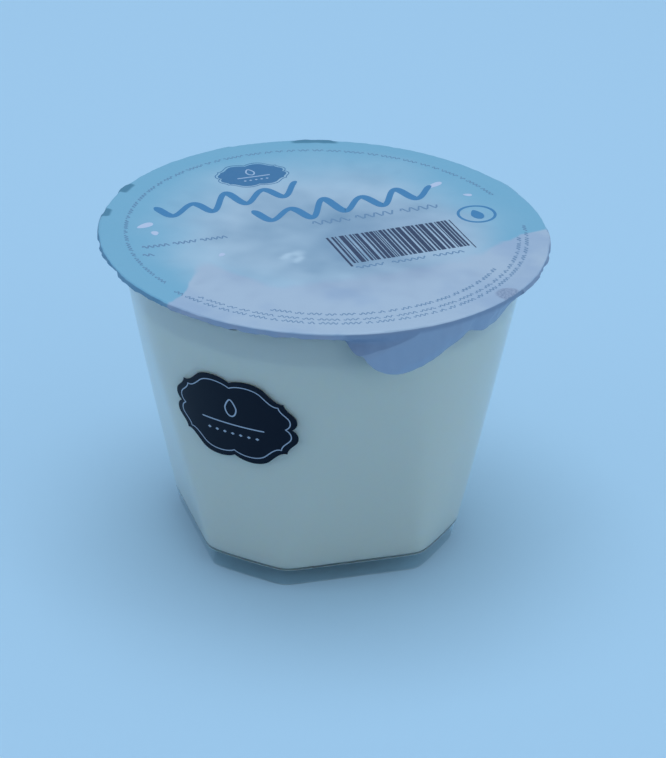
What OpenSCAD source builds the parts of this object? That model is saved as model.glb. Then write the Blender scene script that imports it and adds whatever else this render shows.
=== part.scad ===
// Yogurt pot: a clear tapering cup with a raised floor, its yogurt, a foil lid and a plaque label.
// The cup is round at the rim. Four wide flats and four narrow ones make its foot eight-sided.
// The origin is at the middle of the foot, on the surface that the pot stands on.
// +Z is up, -Y is the front, where the label is.

/* [Cup] */
// Outside diameter of the flange at the rim
rim_d = 85; // [70:1:102]
// Height from the foot to the top of the flange
pot_h = 62.5; // [50:0.5:80]
// How far the flange reaches out past the wall under it
flange_w = 3.2; // [1:0.1:10]
// Outside diameter at the foot, over the rounded corners between the flats
foot_d = 56.4; // [46:0.2:64]
// Wall thickness
wall = 0.8; // [0.5:0.1:1.2]
// Thickness of the flange
flange_t = 1.2; // [0.8:0.1:2]
// Thickness of the raised floor
floor_t = 0.8; // [0.5:0.1:1.2]
// Height of the clear skirt, up to the inside of the floor
skirt_h = 4.5; // [3:0.1:8]

/* [Flats] */
// Width of a wide flat at the foot
wide_flat_w = 27.6; // [22:0.2:32]
// Height at which a wide flat runs out into the round wall
wide_flat_top = 57; // [40:1:60]
// Width of a narrow flat at the foot
narrow_flat_w = 15; // [10:0.2:18]
// Height at which a narrow flat runs out into the round wall
narrow_flat_top = 24; // [16:1:26]

/* [Yogurt] */
// Free height between the yogurt and the top of the flange
headspace = 10; // [5:0.5:16]

/* [Lid] */
// Thickness of the foil
foil_t = 0.3; // [0.2:0.05:0.5]
// How far the foil reaches past the flange
foil_over = 1; // [0.4:0.1:2]
// Depth of the ripples along the foil's edge
ripple = 0.3; // [0:0.05:0.5]
// Number of long ripples around the edge
ripple_count = 11; // [5:1:20]
// Direction of the pull tab, from +X towards +Y
tab_dir = -30; // [-60:1:60]
// Width of the pull tab where it leaves the lid
tab_w = 39; // [28:1:44]
// How far the pull tab hangs down below the lid
tab_drop = 10; // [6:0.5:14]
// How far the tab's lower edge leans in towards the wall
tab_lean = 1.2; // [0:0.1:2]

/* [Label] */
// Width of the plaque, measured straight across
label_w = 25.6; // [20:0.2:31]
// Height of the plaque
label_h = 18.4; // [12:0.2:22]
// Height of the middle of the plaque above the foot
label_mid = 38.2; // [30:0.2:44]
// Thickness of the label film
label_t = 0.2; // [0.1:0.05:0.3]

/* [Hidden] */

$fn = 96;
past = 2;                  // how far a cutting solid runs past what it cuts
rim_r = rim_d / 2;
foot_r = foot_d / 2;
shoulder_d = rim_d - 2 * flange_w;
shoulder_r = shoulder_d / 2;
shoulder_z = pot_h - flange_t;
level_z = pot_h - headspace;
foil_r = rim_r + foil_over;
tab_half = asin(tab_w / 2 / foil_r);
edge_points = 144;         // points along the foil's rippled edge

// Outer radius of the round wall at height z
function wall_r(z) = foot_r + (shoulder_r - foot_r) * z / shoulder_z;

// Distance from the axis to a flat of width w at the foot
function apothem(w) = sqrt(foot_r * foot_r - w * w / 4);

// Lean of a flat that is w wide at the foot and runs out at height top
function lean(w, top) = atan((wall_r(top) - apothem(w)) / top);

// Everything on the far side of a leaning flat that faces the direction turn
module beyond_flat(turn, distance, angle) {
    size = 3 * pot_h;
    rotate([0, 0, turn])
        translate([distance, 0, 0])
            rotate([0, angle, 0])
                translate([0, -size / 2, -size / 2])
                    cube(size);
}

// The cup's outer form between two heights, drawn in by inset
module tapered(from_z, to_z, inset = 0) {
    difference() {
        translate([0, 0, from_z])
            cylinder(h = to_z - from_z, r1 = wall_r(from_z) - inset, r2 = wall_r(to_z) - inset);
        for (k = [0 : 3]) {
            beyond_flat(45 + 90 * k, apothem(wide_flat_w) - inset, lean(wide_flat_w, wide_flat_top));
            beyond_flat(90 * k, apothem(narrow_flat_w) - inset, lean(narrow_flat_w, narrow_flat_top));
        }
    }
}

// A flat disc with a rounded edge
module round_edged_disc(radius, height) {
    rotate_extrude() {
        square([radius - height / 2, height]);
        translate([radius - height / 2, height / 2])
            intersection() {
                circle(d = height);
                translate([-radius / 2, -height])
                    square([radius, 2 * height]);
            }
    }
}

module cup() {
    color([0.78, 0.88, 0.95, 0.45])
        difference() {
            union() {
                tapered(0, shoulder_z + flange_t / 2);
                translate([0, 0, shoulder_z])
                    round_edged_disc(rim_r, flange_t);
            }
            tapered(skirt_h, pot_h + past, wall);
            tapered(-past, skirt_h - floor_t, wall);
        }
}

module yogurt() {
    color([0.93, 0.92, 0.86])
        tapered(skirt_h, level_z, wall);
}

// How far the direction a turns away from the tab, from 0 to 180
function off_tab(a) = abs((a - tab_dir + 540) % 360 - 180);

// Depth of the crinkled edge in the direction a, from 0 to 1: long ripples with short ones on them
function crinkle(a) = (1 + 0.6 * sin(ripple_count * a) + 0.4 * sin(3 * ripple_count * a + 40)) / 2;

// Radius of the foil's edge in the direction a. Over the tab it ends inside the folded sheet.
function edge_r(a) = foil_r - (off_tab(a) > tab_half ? ripple * crinkle(a) : foil_t / 2);

module foil_disc() {
    translate([0, 0, pot_h])
        linear_extrude(foil_t)
            polygon([for (i = [0 : edge_points - 1])
                let (a = i * 360 / edge_points)
                [edge_r(a) * cos(a), edge_r(a) * sin(a)]]);
}

// Outline of the hanging tab: a small fold, the long lobe and a short shoulder.
// Across runs from -0.5 to 0.5 of the tab's width, down from 0 to 1 of its drop.
module tab_outline() {
    fold = [[-0.5, 0], [-0.45, 0.48], [-0.41, 0.53]];
    lobe = [[-0.36, 0.8], [-0.29, 0.94], [-0.2, 1], [-0.12, 0.95], [-0.05, 0.84], [0.07, 0.57], [0.15, 0.41]];
    shoulder = [[0.24, 0.53], [0.36, 0.58], [0.44, 0.53], [0.49, 0.38], [0.5, 0]];
    polygon([for (p = concat(fold, lobe, shoulder)) [p[0] * tab_w, p[1] * -tab_drop]]);
}

module tab() {
    low_z = pot_h - tab_drop - past;
    intersection() {
        rotate_extrude()
            polygon([
                [foil_r - foil_t, pot_h + foil_t],
                [foil_r, pot_h + foil_t],
                [foil_r - tab_lean, low_z],
                [foil_r - foil_t - tab_lean, low_z]
            ]);
        rotate([0, 0, tab_dir + 90])
            translate([0, 0, pot_h + foil_t])
                rotate([90, 0, 0])
                    linear_extrude(2 * foil_r)
                        tab_outline();
    }
}

module lid() {
    color([0.55, 0.79, 0.89]) {
        foil_disc();
        tab();
    }
}

// Plaque outline: two broad lobes above and below, two small ones at each end
module plaque() {
    broad_r = min(0.3 * label_w, label_h / 2);
    end_r = 0.2 * label_h;
    union() {
        square([0.8 * label_w, 0.56 * label_h], center = true);
        for (sx = [-1, 1], sy = [-1, 1]) {
            translate([sx * 0.16 * label_w, sy * (label_h / 2 - broad_r)])
                circle(r = broad_r);
            translate([sx * (label_w / 2 - end_r), sy * 0.16 * label_h])
                circle(r = end_r);
        }
    }
}

module label() {
    color([0.03, 0.06, 0.13])
        intersection() {
            difference() {
                tapered(label_mid - label_h, label_mid + label_h, -label_t);
                tapered(label_mid - label_h - past, label_mid + label_h + past);
            }
            translate([0, 0, label_mid])
                rotate([90, 0, 0])
                    linear_extrude(rim_d)
                        plaque();
        }
}

cup();
yogurt();
lid();
label();
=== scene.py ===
"""Yogurt pot: a clear faceted cup, its yogurt, a printed foil lid with a folded tab, and a plaque label."""
import logging
import math
import random
from dataclasses import dataclass, field
from enum import Enum
from typing import Callable

import bpy
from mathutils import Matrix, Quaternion, Vector, noise


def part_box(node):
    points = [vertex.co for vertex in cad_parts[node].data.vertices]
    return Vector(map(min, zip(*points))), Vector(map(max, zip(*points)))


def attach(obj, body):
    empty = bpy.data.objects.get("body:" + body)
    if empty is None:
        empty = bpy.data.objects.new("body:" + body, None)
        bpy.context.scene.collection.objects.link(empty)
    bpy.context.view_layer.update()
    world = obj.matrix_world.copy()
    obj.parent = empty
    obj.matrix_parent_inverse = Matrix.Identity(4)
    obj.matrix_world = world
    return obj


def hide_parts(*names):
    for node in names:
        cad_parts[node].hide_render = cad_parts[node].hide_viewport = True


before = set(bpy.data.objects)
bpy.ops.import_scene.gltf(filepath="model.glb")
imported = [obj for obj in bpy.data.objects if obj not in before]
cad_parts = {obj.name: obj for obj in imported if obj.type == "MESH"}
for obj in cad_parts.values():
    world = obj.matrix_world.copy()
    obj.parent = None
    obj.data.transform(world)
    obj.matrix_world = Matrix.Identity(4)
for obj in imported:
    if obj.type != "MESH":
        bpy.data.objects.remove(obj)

logging.basicConfig(level=logging.INFO, format="%(message)s")
LOG = logging.getLogger("yogurt_pot")

MM = 0.001
Point = tuple[float, float, float]
Colour = tuple[float, float, float]
Pair = tuple[float, float]
Path = list[Pair]


# ---------------------------------------------------------------------------------------------
# Small helpers
# ---------------------------------------------------------------------------------------------


def smooth_step(low: float, high: float, value: float) -> float:
    """Ease from 0 at low to 1 at high.

    Args:
        low: Value at which the result leaves 0.
        high: Value at which the result reaches 1.
        value: Value to ease.

    Returns:
        A number from 0 to 1.
    """
    t = max(0.0, min(1.0, (value - low) / (high - low)))
    return t * t * (3.0 - 2.0 * t)


def mix(a: float, b: float, t: float) -> float:
    """Return the value that lies the share t of the way from a to b."""
    return a + (b - a) * t


def turn_from(angle: float, centre: float) -> float:
    """Return the signed turn in radians from centre to angle, from -pi to pi."""
    return (angle - centre + math.pi) % (2.0 * math.pi) - math.pi


def wobble(x: float, y: float, z: float, octaves: int = 3) -> float:
    """Return smooth noise of about -1 to 1 at a place given in noise units."""
    return noise.fractal(Vector((x, y, z)), 0.6, 2.1, octaves, noise_basis="PERLIN_ORIGINAL")


def all_round(count: int) -> list[float]:
    """Return count directions spread evenly over a full turn, in radians."""
    return [2 * math.pi * i / count for i in range(count)]


class MeshMaker:
    """Gathers points and faces, and turns them into one smooth-shaded object."""

    def __init__(self, name: str) -> None:
        """Start an empty mesh.

        Args:
            name: Name of the object that it becomes.
        """
        self.name = name
        self.points: list[Point] = []
        self.faces: list[tuple[int, ...]] = []
        self.slots: list[int] = []

    def ring(self, points: list[Vector]) -> list[int]:
        """Add a row of points.

        Args:
            points: The points to add.

        Returns:
            Their indices.
        """
        start = len(self.points)
        self.points.extend(tuple(p) for p in points)
        return list(range(start, start + len(points)))

    def band(self, low: list[int], high: list[int], slot: int = 0, closed: bool = True) -> None:
        """Join two rows of points with quads.

        Args:
            low: Indices of the first row.
            high: Indices of the second row, to the left of the first seen from outside.
            slot: Material slot of the new faces.
            closed: Whether the rows run all the way round.
        """
        count = len(low)
        for i in range(count if closed else count - 1):
            j = (i + 1) % count
            self.faces.append((low[i], low[j], high[j], high[i]))
            self.slots.append(slot)

    def cap(self, ring: list[int], middle: Vector, upward: bool, slot: int = 0) -> None:
        """Close a ring with a fan round its middle point.

        Args:
            ring: Indices of the ring, anticlockwise seen from above.
            middle: Where the fan's middle lies.
            upward: Whether the fan's outside faces up.
            slot: Material slot of the new faces.
        """
        centre = self.ring([middle])[0]
        for i, a in enumerate(ring):
            b = ring[(i + 1) % len(ring)]
            self.faces.append((a, b, centre) if upward else (b, a, centre))
            self.slots.append(slot)

    def shell(self, rings: list[list[Vector]], first: Vector, last: Vector) -> None:
        """Join rings into one closed shell, with a fan over each end.

        Args:
            rings: Rings of points, from the underside round to the top.
            first: Middle of the first ring's fan, which faces down.
            last: Middle of the last ring's fan, which faces up.
        """
        rows = [self.ring(ring) for ring in rings]
        for low_row, high_row in zip(rows, rows[1:]):
            self.band(low_row, high_row)
        self.cap(rows[0], first, upward=False)
        self.cap(rows[-1], last, upward=True)

    def build(self, materials: list[bpy.types.Material], sharp_deg: float = 40.0) -> bpy.types.Object:
        """Make the object, with smooth shading and sharp edges where faces turn by more than sharp_deg.

        Args:
            materials: The material of each slot.
            sharp_deg: Turn between faces above which their edge shades sharp.

        Returns:
            The new object, linked to the scene.
        """
        mesh = bpy.data.meshes.new(self.name)
        mesh.from_pydata(self.points, [], self.faces)
        for material in materials:
            mesh.materials.append(material)
        mesh.polygons.foreach_set("material_index", self.slots)
        mesh.validate()
        mesh.shade_smooth()
        mesh.set_sharp_from_angle(angle=math.radians(sharp_deg))
        piece = bpy.data.objects.new(self.name, mesh)
        bpy.context.scene.collection.objects.link(piece)
        return piece


# ---------------------------------------------------------------------------------------------
# Node building
# ---------------------------------------------------------------------------------------------


class Tree:
    """A thin wrapper that adds and links nodes in one node tree."""

    def __init__(self, tree: bpy.types.NodeTree) -> None:
        """Wrap an existing node tree."""
        self.tree = tree

    def add(self, kind: str, settings: dict | None = None, **inputs: object) -> bpy.types.Node:
        """Add a node.

        Args:
            kind: The node's type name.
            settings: Properties to set on the node itself.
            inputs: Socket values or sockets by name, with underscores for spaces.

        Returns:
            The new node.
        """
        node = self.tree.nodes.new(kind)
        for key, value in (settings or {}).items():
            setattr(node, key, value)
        for key, value in inputs.items():
            self.feed(node.inputs[key.replace("_", " ")], value)
        return node

    def feed(self, socket: bpy.types.NodeSocket, value: object) -> None:
        """Link a socket to a socket, or set a constant on it.

        Args:
            socket: The input socket.
            value: The output socket or constant that it takes. None leaves it alone.
        """
        if isinstance(value, bpy.types.NodeSocket):
            self.tree.links.new(value, socket)
        elif value is not None:
            socket.default_value = value

    def math(self, operation: str, *values: object, clamp: bool = False) -> bpy.types.NodeSocket:
        """Add a Math node.

        Args:
            operation: What the node works out.
            values: Its inputs, as sockets or constants.
            clamp: Whether the result is kept between 0 and 1.

        Returns:
            The result's socket.
        """
        node = self.tree.nodes.new("ShaderNodeMath")
        node.operation = operation
        node.use_clamp = clamp
        for socket, value in zip(node.inputs, values):
            self.feed(socket, value)
        return node.outputs[0]

    def ramp(
        self, value: object, low: float, high: float, to_low: float = 0.0, to_high: float = 1.0,
    ) -> bpy.types.NodeSocket:
        """Add a smooth Map Range node.

        Args:
            value: What is mapped.
            low: Where the ramp starts.
            high: Where it ends.
            to_low: Result at and before its start.
            to_high: Result at and past its end.

        Returns:
            The result's socket.
        """
        node = self.tree.nodes.new("ShaderNodeMapRange")
        node.interpolation_type = "SMOOTHSTEP"
        values = {"Value": value, "From Min": low, "From Max": high, "To Min": to_low, "To Max": to_high}
        for key, item in values.items():
            self.feed(node.inputs[key], item)
        return node.outputs[0]

    def blend(self, factor: object, first: object, second: object, mode: str = "MIX") -> bpy.types.NodeSocket:
        """Mix two colours.

        Args:
            factor: Share of the second colour.
            first: The first colour.
            second: The second colour.
            mode: How they blend.

        Returns:
            The mixed colour's socket.
        """
        node = self.tree.nodes.new("ShaderNodeMix")
        node.data_type = "RGBA"
        node.blend_type = mode
        for socket, value in ((node.inputs[0], factor), (node.inputs[6], first), (node.inputs[7], second)):
            self.feed(socket, value)
        return node.outputs[2]

    def from_spot(self, across: object, up: object, spot: Pair) -> bpy.types.NodeSocket:
        """Add nodes for the square of the distance from a spot.

        Args:
            across: Place across.
            up: Place up.
            spot: The spot's own across and up.

        Returns:
            The squared distance's socket.
        """
        squares = [
            self.math("POWER", self.math("SUBTRACT", place, start), 2.0)
            for place, start in zip((across, up), spot)
        ]
        return self.math("ADD", *squares)


def opaque(colour: Colour) -> tuple[float, float, float, float]:
    """Return a colour with full alpha."""
    return (*colour, 1.0)


class Effects:
    """Shader node groups that several finishes share. Each is built once."""

    def __init__(self) -> None:
        """Start with no group built."""
        self._built: dict[str, bpy.types.ShaderNodeTree] = {}

    def _group(
        self,
        name: str,
        inputs: list[tuple[str, str, object]],
        outputs: list[tuple[str, str]],
        fill: Callable[[Tree, bpy.types.Node, bpy.types.Node], None],
    ) -> bpy.types.ShaderNodeTree:
        """Return the named group, building it at its first use.

        Args:
            name: The group's name.
            inputs: Name, socket type and default of each input.
            outputs: Name and socket type of each output.
            fill: Adds the nodes between the group's input and output nodes.

        Returns:
            The node group.
        """
        if name not in self._built:
            group = bpy.data.node_groups.new(name, "ShaderNodeTree")
            for label, kind, default in inputs:
                socket = group.interface.new_socket(label, in_out="INPUT", socket_type=kind)
                if default is not None:
                    socket.default_value = default
            for label, kind in outputs:
                group.interface.new_socket(label, in_out="OUTPUT", socket_type=kind)
            tree = Tree(group)
            fill(tree, group.nodes.new("NodeGroupInput"), group.nodes.new("NodeGroupOutput"))
            self._built[name] = group
        return self._built[name]

    def crinkle(self) -> bpy.types.ShaderNodeTree:
        """Return the foil's relief: broad buckles, fine creases and tiny dents, as one height."""

        def fill(tree: Tree, source: bpy.types.Node, result: bpy.types.Node) -> None:
            """Add the nodes between the group's ends.

            Args:
                tree: The group's tree.
                source: Its input node.
                result: Its output node.
            """
            place = source.outputs["Vector"]
            buckle_scale = source.outputs["Buckle Scale"]
            broad = tree.add("ShaderNodeTexNoise", Vector=place, Scale=buckle_scale, Detail=3.0)
            warp = tree.add("ShaderNodeTexNoise", Vector=place, Scale=180.0, Detail=2.0)
            bent = tree.add("ShaderNodeVectorMath", {"operation": "MULTIPLY_ADD"})
            tree.feed(bent.inputs[0], warp.outputs["Color"])
            bent.inputs[1].default_value = (0.003, 0.003, 0.003)
            tree.feed(bent.inputs[2], place)
            creases = tree.add(
                "ShaderNodeTexVoronoi", {"feature": "DISTANCE_TO_EDGE"},
                Vector=bent.outputs[0], Scale=source.outputs["Crease Scale"],
            )
            valley = tree.ramp(creases.outputs["Distance"], 0.0, 0.06, 0.0, 1.0)
            where = tree.ramp(broad.outputs[0], 0.5, 0.75)
            folded = tree.math("MULTIPLY", tree.math("SUBTRACT", valley, 1.0), where)
            height = tree.math("MULTIPLY_ADD", folded, source.outputs["Crease Depth"], broad.outputs[0])
            tree.feed(result.inputs["Height"], height)

        return self._group(
            "foil_crinkle",
            [("Vector", "NodeSocketVector", None), ("Buckle Scale", "NodeSocketFloat", 90.0),
             ("Crease Scale", "NodeSocketFloat", 130.0), ("Crease Depth", "NodeSocketFloat", 0.12)],
            [("Height", "NodeSocketFloat")],
            fill,
        )

    def grain(self) -> bpy.types.ShaderNodeTree:
        """Return a fine grain: a tinted colour, a roughness and a height that vary a little."""

        def fill(tree: Tree, source: bpy.types.Node, result: bpy.types.Node) -> None:
            """Add the nodes between the group's ends.

            Args:
                tree: The group's tree.
                source: Its input node.
                result: Its output node.
            """
            place = source.outputs["Vector"]
            fine = tree.add("ShaderNodeTexNoise", Vector=place, Scale=source.outputs["Scale"], Detail=4.0)
            cloud_scale = source.outputs["Cloud Scale"]
            cloud = tree.add("ShaderNodeTexNoise", Vector=place, Scale=cloud_scale, Detail=2.0)
            fine_part = tree.math("MULTIPLY", fine.outputs[0], 0.3)
            share = tree.math("MULTIPLY_ADD", cloud.outputs[0], 0.7, fine_part)
            spread = tree.math("MULTIPLY", share, source.outputs["Strength"])
            tinted = tree.blend(spread, source.outputs["Color"], source.outputs["Tint"])
            tree.feed(result.inputs["Color"], tinted)
            off_centre = tree.math("SUBTRACT", share, 0.5)
            uneven, even = source.outputs["Roughness Spread"], source.outputs["Roughness"]
            tree.feed(result.inputs["Roughness"], tree.math("MULTIPLY_ADD", off_centre, uneven, even))
            tree.feed(result.inputs["Height"], fine.outputs[0])

        return self._group(
            "fine_grain",
            [("Vector", "NodeSocketVector", None), ("Color", "NodeSocketColor", (1, 1, 1, 1)),
             ("Tint", "NodeSocketColor", (1, 1, 1, 1)), ("Strength", "NodeSocketFloat", 0.3),
             ("Scale", "NodeSocketFloat", 900.0), ("Cloud Scale", "NodeSocketFloat", 40.0),
             ("Roughness", "NodeSocketFloat", 0.4), ("Roughness Spread", "NodeSocketFloat", 0.1)],
            [("Color", "NodeSocketColor"), ("Roughness", "NodeSocketFloat"), ("Height", "NodeSocketFloat")],
            fill,
        )


EFFECTS = Effects()


@dataclass(frozen=True)
class Finish:
    """What every finish has: a name, a base colour and a second colour that it clouds towards."""

    name: str
    colour: Colour
    tint: Colour
    roughness: float

    def start(self) -> tuple[bpy.types.Material, Tree, bpy.types.Node, bpy.types.NodeSocket]:
        """Begin a material.

        Returns:
            The material, its tree, its Principled BSDF and the object coordinates.
        """
        material = bpy.data.materials.new(self.name)
        material.use_nodes = True
        material.diffuse_color = opaque(self.colour)
        tree = Tree(material.node_tree)
        shader = material.node_tree.nodes["Principled BSDF"]
        place = tree.add("ShaderNodeTexCoord").outputs["Object"]
        return material, tree, shader, place

    def grained(
        self, tree: Tree, shader: bpy.types.Node, place: bpy.types.NodeSocket, colour: object = None,
        scale: float = 900.0, cloud: float = 40.0, strength: float = 0.3, spread: float = 0.1,
    ) -> bpy.types.Node:
        """Put the fine grain on a shader's colour and roughness.

        Args:
            tree: The material's tree.
            shader: The Principled BSDF.
            place: Coordinates of the grain.
            colour: A colour socket to use in place of the finish's own colour.
            scale: Scale of the fine grain.
            cloud: Scale of the broad clouds.
            strength: How far the colour clouds towards the tint.
            spread: How much the roughness varies.

        Returns:
            The grain node, for its height.
        """
        node = tree.add("ShaderNodeGroup", {"node_tree": EFFECTS.grain()})
        values = {
            "Vector": place, "Color": colour if colour is not None else opaque(self.colour),
            "Tint": opaque(self.tint), "Strength": strength, "Scale": scale, "Cloud Scale": cloud,
            "Roughness": self.roughness, "Roughness Spread": spread,
        }
        for key, value in values.items():
            tree.feed(node.inputs[key], value)
        tree.feed(shader.inputs["Base Color"], node.outputs["Color"])
        tree.feed(shader.inputs["Roughness"], node.outputs["Roughness"])
        return node

    def crinkled(
        self, tree: Tree, shader: bpy.types.Node, place: bpy.types.NodeSocket, relief: float,
    ) -> None:
        """Put the foil's crinkled relief on a shader's normal.

        Args:
            tree: The material's tree.
            shader: The Principled BSDF.
            place: Coordinates of the relief.
            relief: How strongly it shows.
        """
        crinkle = tree.add("ShaderNodeGroup", {"node_tree": EFFECTS.crinkle()}, Vector=place)
        height = crinkle.outputs["Height"]
        bump = tree.add("ShaderNodeBump", Height=height, Strength=relief, Distance=0.35 * MM)
        tree.feed(shader.inputs["Normal"], bump.outputs[0])


@dataclass(frozen=True)
class ClearPlastic(Finish):
    """Clear moulded plastic with faint flow marks."""

    ior: float = 1.49

    def material(self) -> bpy.types.Material:
        """Make the plastic, with transmission and a slightly uneven surface.

        Returns:
            The material.
        """
        material, tree, shader, place = self.start()
        shader.inputs["Base Color"].default_value = opaque(self.colour)
        shader.inputs["Transmission Weight"].default_value = 1.0
        shader.inputs["IOR"].default_value = self.ior
        shader.inputs["Roughness"].default_value = self.roughness
        flow = tree.add("ShaderNodeTexNoise", Vector=place, Scale=70.0, Detail=2.0)
        bump = tree.add("ShaderNodeBump", Height=flow.outputs[0], Strength=0.12, Distance=0.0006)
        tree.feed(shader.inputs["Normal"], bump.outputs[0])
        return material


@dataclass(frozen=True)
class Cream(Finish):
    """Set yogurt: light scatters in it, and it is smooth with faint clouds."""

    def material(self) -> bpy.types.Material:
        """Make the yogurt's cloudy, softly lit surface.

        Returns:
            The material.
        """
        material, tree, shader, place = self.start()
        grain = self.grained(tree, shader, place, scale=260.0, cloud=28.0, strength=0.6, spread=0.1)
        shader.inputs["Subsurface Weight"].default_value = 0.35
        shader.inputs["Subsurface Radius"].default_value = (1.0, 0.8, 0.6)
        shader.inputs["Subsurface Scale"].default_value = 2.5 * MM
        bump = tree.add("ShaderNodeBump", Height=grain.outputs["Height"], Strength=0.15, Distance=0.2 * MM)
        tree.feed(shader.inputs["Normal"], bump.outputs[0])
        return material


@dataclass(frozen=True)
class Foil(Finish):
    """Thin aluminium foil with the relief that handling gives it."""

    metallic: float = 0.0
    relief: float = 0.5

    def dressed(
        self, colour: Callable[[Tree, bpy.types.NodeSocket], object] | None = None,
    ) -> bpy.types.Material:
        """Return the foil.

        Args:
            colour: Works out the printed colour from the tree and the place. None leaves it plain.

        Returns:
            The material.
        """
        material, tree, shader, place = self.start()
        printed = colour(tree, place) if colour else None
        self.grained(
            tree, shader, place, colour=printed, scale=1400.0, cloud=55.0, strength=0.18, spread=0.16,
        )
        shader.inputs["Metallic"].default_value = self.metallic
        self.crinkled(tree, shader, place, self.relief)
        return material


@dataclass(frozen=True)
class Ink(Finish):
    """A printed colour that follows the foil's or the film's relief."""

    relief: float = 0.5
    gloss: float = 0.5

    def material(self) -> bpy.types.Material:
        """Make the ink, with its gloss and relief.

        Returns:
            The material.
        """
        material, tree, shader, place = self.start()
        self.grained(tree, shader, place, scale=1600.0, cloud=120.0, strength=0.25, spread=0.12)
        shader.inputs["Specular IOR Level"].default_value = self.gloss
        self.crinkled(tree, shader, place, self.relief)
        return material


# ---------------------------------------------------------------------------------------------
# The pot's form, which every piece follows
# ---------------------------------------------------------------------------------------------


@dataclass(frozen=True)
class PotForm:
    """The wall's form: a cone cut by four wide and four narrow leaning flats, with soft edges. Metres."""

    height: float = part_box("cup")[1][2]
    rim_r: float = (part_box("cup")[1][0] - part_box("cup")[0][0]) / 2
    floor_z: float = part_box("yogurt")[0][2]
    level_z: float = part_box("yogurt")[1][2]
    foot_r: float = 28.2 * MM
    flange_w: float = 3.2 * MM
    flange_t: float = 1.2 * MM
    wall: float = 0.8 * MM
    floor_t: float = 0.8 * MM
    wide_flat_w: float = 27.6 * MM
    wide_flat_top: float = 57.0 * MM
    narrow_flat_w: float = 15.0 * MM
    narrow_flat_top: float = 24.0 * MM
    softness: float = 70.0

    @property
    def shoulder_r(self) -> float:
        """Radius of the wall just under the flange."""
        return self.rim_r - self.flange_w

    @property
    def shoulder_z(self) -> float:
        """Height of the flange's underside."""
        return self.height - self.flange_t

    def cone_r(self, z: float) -> float:
        """Return the round wall's outer radius at height z."""
        return mix(self.foot_r, self.shoulder_r, z / self.shoulder_z)

    def flat_distance(self, width: float, top: float, z: float) -> float:
        """Return how far a flat lies from the axis at height z.

        Args:
            width: The flat's width at the foot.
            top: Height at which it runs out into the cone.
            z: Height asked for.

        Returns:
            The distance in metres.
        """
        foot = math.sqrt(self.foot_r**2 - width**2 / 4)
        return mix(foot, self.cone_r(top), z / top)

    def section(self, angle: float, z: float, inset: float = 0.0) -> float:
        """Return the wall's radius in a direction, drawn in by inset.

        Args:
            angle: Direction from +X towards +Y, in radians.
            z: Height.
            inset: How far inside the outer surface.

        Returns:
            The distance from the axis.
        """
        flats = (
            (math.pi / 4, self.flat_distance(self.wide_flat_w, self.wide_flat_top, z)),
            (0.0, self.flat_distance(self.narrow_flat_w, self.narrow_flat_top, z)),
        )
        cone = self.cone_r(z) - inset
        total = 1.0
        for first, distance in flats:
            off = turn_from(angle * 4, first * 4) / 4
            total += (math.cos(off) * cone / (distance - inset)) ** self.softness
        return cone * total ** (-1.0 / self.softness)

    def at(self, angle: float, z: float, inset: float = 0.0) -> Vector:
        """Return the point on the wall in a direction and at a height."""
        r = self.section(angle, z, inset)
        return Vector((r * math.cos(angle), r * math.sin(angle), z))


def arc(
    centre: Pair, radius: float, start_deg: float, end_deg: float, steps: int,
) -> Path:
    """Return points on an arc in a profile's plane.

    Args:
        centre: The arc's centre.
        radius: Its radius.
        start_deg: Angle of the first point.
        end_deg: Angle of the last point.
        steps: Number of steps between them.

    Returns:
        The points as pairs.
    """
    turns = [math.radians(mix(start_deg, end_deg, i / steps)) for i in range(steps + 1)]
    return [(centre[0] + radius * math.cos(t), centre[1] + radius * math.sin(t)) for t in turns]


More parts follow.
